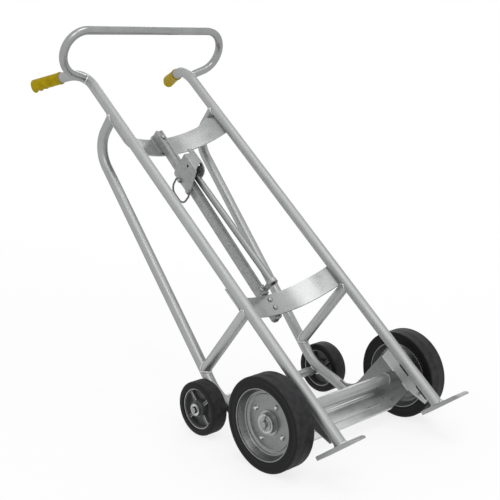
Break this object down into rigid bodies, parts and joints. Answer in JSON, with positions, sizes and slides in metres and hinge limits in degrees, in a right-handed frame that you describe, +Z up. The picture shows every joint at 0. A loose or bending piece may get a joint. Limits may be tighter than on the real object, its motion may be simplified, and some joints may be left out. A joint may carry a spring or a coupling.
{
  "type": "drum hand truck",
  "caption": "Drum hand truck: a leaning frame of bent tubes on wheels, with curved cross bands, toe prongs, a loop handle, side grips and a chime hook that slides along a track.",
  "frame": {"origin": "on the floor under the middle of the outer box, with every wheel standing on the floor", "axes": "+X to the right as seen from in front of the prongs, +Y back from the prongs to the handles, +Z up"},
  "size_m": [0.6342, 1.334, 1.1193],
  "materials": {
    "aluminium_tube": "mill finish tube",
    "aluminium_plate": "brushed plate",
    "galvanised_steel": "dull galvanised",
    "plated_rod": "plated, satin",
    "zinc_steel": "zinc plated",
    "bright_steel": "bright",
    "tyre_rubber": "matt moulded rubber",
    "hub_plastic": "moulded",
    "grip_vinyl": "moulded vinyl, satin"
  },
  "bodies": {
    "frame": {"axle_cotters": "zinc_steel", "axle_spacers": "zinc_steel", "axle_tube": "aluminium_tube", "axle_washers": "zinc_steel", "cross_panel": "aluminium_plate", "guide_bolt": "zinc_steel", "hook_track": "galvanised_steel", "left_brace": "aluminium_tube", "left_grip": "grip_vinyl", "left_prong": "aluminium_plate", "left_rail": "aluminium_tube", "left_rail_strip": "aluminium_plate", "left_rear_tube": "aluminium_tube", "left_side_plate": "aluminium_plate", "loop_handle": "aluminium_tube", "lower_band": "aluminium_plate", "main_axle": "bright_steel", "rear_axle": "bright_steel", "rear_axle_tube": "aluminium_tube", "rear_clips": "zinc_steel", "right_brace": "aluminium_tube", "right_grip": "grip_vinyl", "right_prong": "aluminium_plate", "right_rail": "aluminium_tube", "right_rail_strip": "aluminium_plate", "right_rear_tube": "aluminium_tube", "right_side_plate": "aluminium_plate", "rod_guide": "galvanised_steel", "strip_bolts": "zinc_steel", "track_bolts": "zinc_steel", "track_bracket": "aluminium_plate", "track_nuts": "zinc_steel", "upper_band": "aluminium_plate"},
    "left_main_wheel": {"left_wheel_tyre": "tyre_rubber", "left_wheel_outer_disc": "zinc_steel", "left_wheel_inner_disc": "zinc_steel", "left_wheel_hub": "zinc_steel", "left_wheel_bearings": "bright_steel", "left_wheel_rivets": "bright_steel"},
    "left_rear_wheel": {"left_rear_tyre": "tyre_rubber", "left_rear_hub": "hub_plastic", "left_rear_bearings": "bright_steel"},
    "right_main_wheel": {"right_wheel_tyre": "tyre_rubber", "right_wheel_outer_disc": "zinc_steel", "right_wheel_inner_disc": "zinc_steel", "right_wheel_hub": "zinc_steel", "right_wheel_bearings": "bright_steel", "right_wheel_rivets": "bright_steel"},
    "right_rear_wheel": {"right_rear_tyre": "tyre_rubber", "right_rear_hub": "hub_plastic", "right_rear_bearings": "bright_steel"},
    "hook": {"chime_hook": "galvanised_steel", "hook_rod": "plated_rod", "lock_shoe": "galvanised_steel", "pull_lugs": "galvanised_steel"},
    "pull": {"pull_ring": "galvanised_steel"}
  },
  "joints": [
    {"name": "left_main_wheel_spin", "type": "hinge", "parent": "frame", "child": "left_main_wheel", "pos_m": [-0.2737, -0.40755, 0.127], "axis": [1, 0, 0], "continuous": true},
    {"name": "left_rear_wheel_spin", "type": "hinge", "parent": "frame", "child": "left_rear_wheel", "pos_m": [-0.2483, -0.11515, 0.077], "axis": [1, 0, 0], "continuous": true},
    {"name": "right_main_wheel_spin", "type": "hinge", "parent": "frame", "child": "right_main_wheel", "pos_m": [0.2737, -0.40755, 0.127], "axis": [1, 0, 0], "continuous": true},
    {"name": "right_rear_wheel_spin", "type": "hinge", "parent": "frame", "child": "right_rear_wheel", "pos_m": [0.2483, -0.11515, 0.077], "axis": [1, 0, 0], "continuous": true},
    {"name": "hook_slide", "type": "slide", "parent": "frame", "child": "hook", "axis": [0, 0.7707, 0.6372], "range_m": [-0.2, 0]},
    {"name": "pull_swing", "type": "hinge", "parent": "hook", "child": "pull", "pos_m": [-0.0292, 0.22301, 0.63944], "axis": [0, 0.7707, 0.6372], "range_deg": [0, 75]}
  ]
}
